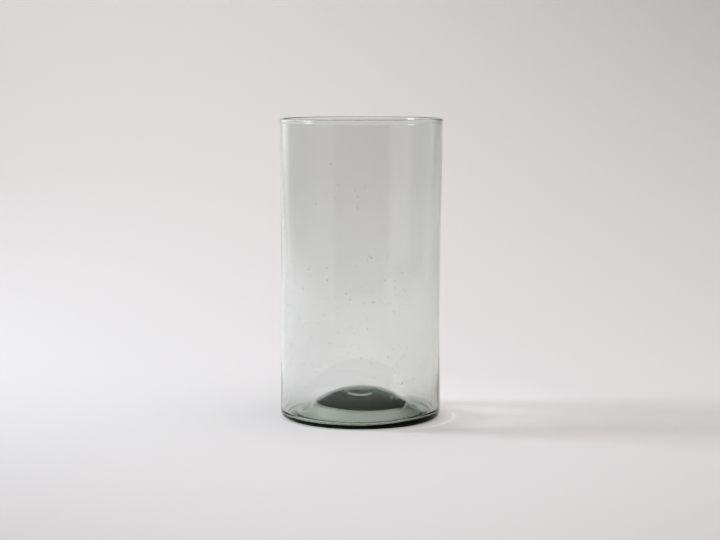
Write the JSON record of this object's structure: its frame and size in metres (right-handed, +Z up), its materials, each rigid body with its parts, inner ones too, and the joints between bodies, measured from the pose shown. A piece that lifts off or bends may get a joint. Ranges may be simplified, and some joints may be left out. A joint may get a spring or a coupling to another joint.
{
  "type": "glass cylinder vase",
  "caption": "Tall hand-blown cylinder vase in pale grey-green seeded glass, with a fire-polished rim and a kicked-up floor, for holding water and cut stems.",
  "frame": {"origin": "centre of the standing ring, on the plane of the table", "axes": "+Z up along the vase's axis, out of the mouth; X and Y are interchangeable, because the vase is round"},
  "size_m": [0.1412, 0.1412, 0.26],
  "materials": {
    "vessel_glass": "fire-polished, clear, pale grey-green tint with seed bubbles",
    "seal_glass": "clear, slightly greener where the glass is thick, dished where the rod came away"
  },
  "bodies": {
    "root": {"vessel": "vessel_glass", "pontil_seal": "seal_glass"}
  },
  "joints": []
}
